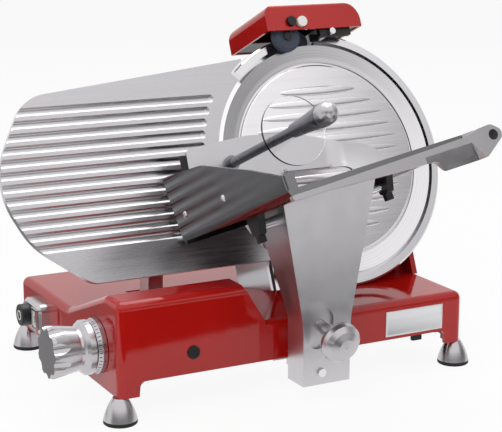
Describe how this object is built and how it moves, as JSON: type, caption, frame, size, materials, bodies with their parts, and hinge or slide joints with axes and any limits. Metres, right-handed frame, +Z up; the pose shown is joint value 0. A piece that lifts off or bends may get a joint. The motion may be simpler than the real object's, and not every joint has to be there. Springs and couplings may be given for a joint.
{
  "type": "meat slicer",
  "caption": "Gravity-feed food slicer: tilted round blade with ring guard, adjustable gauge plate, sliding food tray with swinging pusher and a top sharpener.",
  "frame": {"origin": "centre of the overall box, on the plane the feet stand on", "axes": "+X to the right along the front and the carriage's travel, +Y from the operator to the back, +Z up"},
  "size_m": [0.5012, 0.431, 0.3688],
  "materials": {
    "red_paint": "gloss enamel over die-cast aluminium",
    "cast_satin": "satin brushed casting",
    "polished_steel": "polished stainless",
    "brushed_plate": "brushed and anodised",
    "steel": "ground steel",
    "chrome": "bright plated",
    "black_plastic": "moulded",
    "white_plastic": "moulded",
    "clear_plastic": "clear moulded",
    "rubber": "moulded",
    "stone": "pressed abrasive",
    "motor_grey": "satin paint"
  },
  "bodies": {
    "frame": {"base_casting": "red_paint", "bottom_cover": "steel", "feet": "cast_satin", "foot_rims": "rubber", "rubber_buffers": "rubber", "upright_casting": "red_paint", "fixing_screws": "steel", "spindle": "steel", "hub_bearings": "steel", "motor_body": "motor_grey", "drive_belt": "rubber", "rear_cover": "black_plastic", "ring_guard": "polished_steel", "blade_cover": "brushed_plate", "slice_deflector": "polished_steel", "gauge_rods": "steel", "switch_housing": "cast_satin", "power_inlet": "black_plastic", "slide_rod": "chrome", "guide_bar": "steel", "sharpener_post": "steel"},
    "blade": {"blade": "polished_steel", "blade_pulley": "cast_satin", "blade_screws": "steel"},
    "motor_rotor": {"motor_pulley": "steel"},
    "cover_knob": {"cover_tie_rod": "black_plastic"},
    "start_switch": {"start_button": "white_plastic"},
    "stop_switch": {"stop_button": "black_plastic"},
    "gauge": {"gauge_plate": "brushed_plate", "gauge_support": "cast_satin", "gauge_slide_block": "cast_satin", "gauge_pins": "steel"},
    "index": {"index_cam": "cast_satin", "index_dial": "cast_satin", "index_knob": "cast_satin"},
    "carriage": {"slide_block": "cast_satin", "carriage_arm": "cast_satin", "carriage_screws": "steel", "tray": "polished_steel", "tray_wall": "polished_steel", "tray_handle": "cast_satin", "tray_cross_rod": "chrome", "tray_lugs": "black_plastic", "pusher_rod": "chrome"},
    "lock_knob": {"arm_knob": "cast_satin"},
    "slider": {"pusher_slider": "steel"},
    "pusher": {"pusher_plate": "cast_satin", "pusher_teeth": "black_plastic", "pusher_hub": "cast_satin", "handle_rod": "chrome", "hand_guard": "clear_plastic", "handle_grip": "cast_satin", "handle_cap": "cast_satin"},
    "sharpener": {"sharpener_cap": "red_paint", "sharpener_frame": "black_plastic"},
    "grinder": {"grind_button": "black_plastic", "grind_stone": "stone"},
    "hone_switch": {"hone_button": "white_plastic"},
    "hone": {"hone_stone": "stone"},
    "clamp_screw": {"sharpener_screw": "steel"}
  },
  "joints": [
    {"name": "blade_spin", "type": "hinge", "parent": "frame", "child": "blade", "pos_m": [0.11206, 0.04246, 0.209], "axis": [0, -0.9239, 0.3827], "continuous": true},
    {"name": "motor_spin", "type": "hinge", "parent": "frame", "child": "motor_rotor", "pos_m": [0.15207, 0.0172, 0.14802], "axis": [0, -0.9239, 0.3827], "continuous": true},
    {"name": "cover_knob_turn", "type": "hinge", "parent": "frame", "child": "cover_knob", "pos_m": [0.11206, 0.04246, 0.209], "axis": [0, -0.9239, 0.3827], "range_deg": [0, 360]},
    {"name": "start_push", "type": "slide", "parent": "frame", "child": "start_switch", "axis": [1, 0, 0], "range_m": [0, 0.002], "stiffness_N_per_m": 300},
    {"name": "stop_push", "type": "slide", "parent": "frame", "child": "stop_switch", "axis": [1, 0, 0], "range_m": [0, 0.003], "stiffness_N_per_m": 300},
    {"name": "gauge_slide", "type": "slide", "parent": "frame", "child": "gauge", "axis": [0, 1, 0], "range_m": [0, 0.015]},
    {"name": "index_turn", "type": "hinge", "parent": "frame", "child": "index", "pos_m": [-0.18493, -0.02754, 0.065], "axis": [1, 0, 0], "range_deg": [0, 330]},
    {"name": "carriage_slide", "type": "slide", "parent": "frame", "child": "carriage", "axis": [1, 0, 0], "range_m": [-0.11, 0.108]},
    {"name": "lock_knob_turn", "type": "hinge", "parent": "carriage", "child": "lock_knob", "pos_m": [0.00656, -0.12354, 0.082], "axis": [0.0499, -0.9769, -0.2077], "range_deg": [0, 360]},
    {"name": "pusher_slide", "type": "slide", "parent": "carriage", "child": "slider", "axis": [0, -0.9239, 0.3827], "range_m": [-0.02, 0.16]},
    {"name": "pusher_swing", "type": "hinge", "parent": "slider", "child": "pusher", "pos_m": [0.12757, -0.02286, 0.19504], "axis": [0, 0.9239, -0.3827], "range_deg": [0, 100]},
    {"name": "sharpener_lift", "type": "slide", "parent": "frame", "child": "sharpener", "axis": [0, 0.3827, 0.9239], "range_m": [0, 0.03]},
    {"name": "grind_push", "type": "slide", "parent": "sharpener", "child": "grinder", "axis": [0, 0.9239, -0.3827], "range_m": [0, 0.004], "stiffness_N_per_m": 400},
    {"name": "hone_move", "type": "slide", "parent": "sharpener", "child": "hone", "axis": [0, -0.9239, 0.3827], "range_m": [0, 0.004], "stiffness_N_per_m": 400},
    {"name": "hone_push", "type": "slide", "parent": "sharpener", "child": "hone_switch", "axis": [0, 0.9239, -0.3827], "range_m": [0, 0.004]},
    {"name": "clamp_screw_turn", "type": "hinge", "parent": "sharpener", "child": "clamp_screw", "pos_m": [0.13306, 0.09385, 0.33308], "axis": [0, -0.9239, 0.3827], "range_deg": [0, 360]}
  ],
  "couplings": [
    {"joint": "motor_spin", "follows": "blade_spin", "ratio": 3.2727},
    {"joint": "index_turn", "follows": "gauge_slide", "rad_per_m": 383.97},
    {"joint": "hone_push", "follows": "hone_move", "ratio": 1}
  ]
}
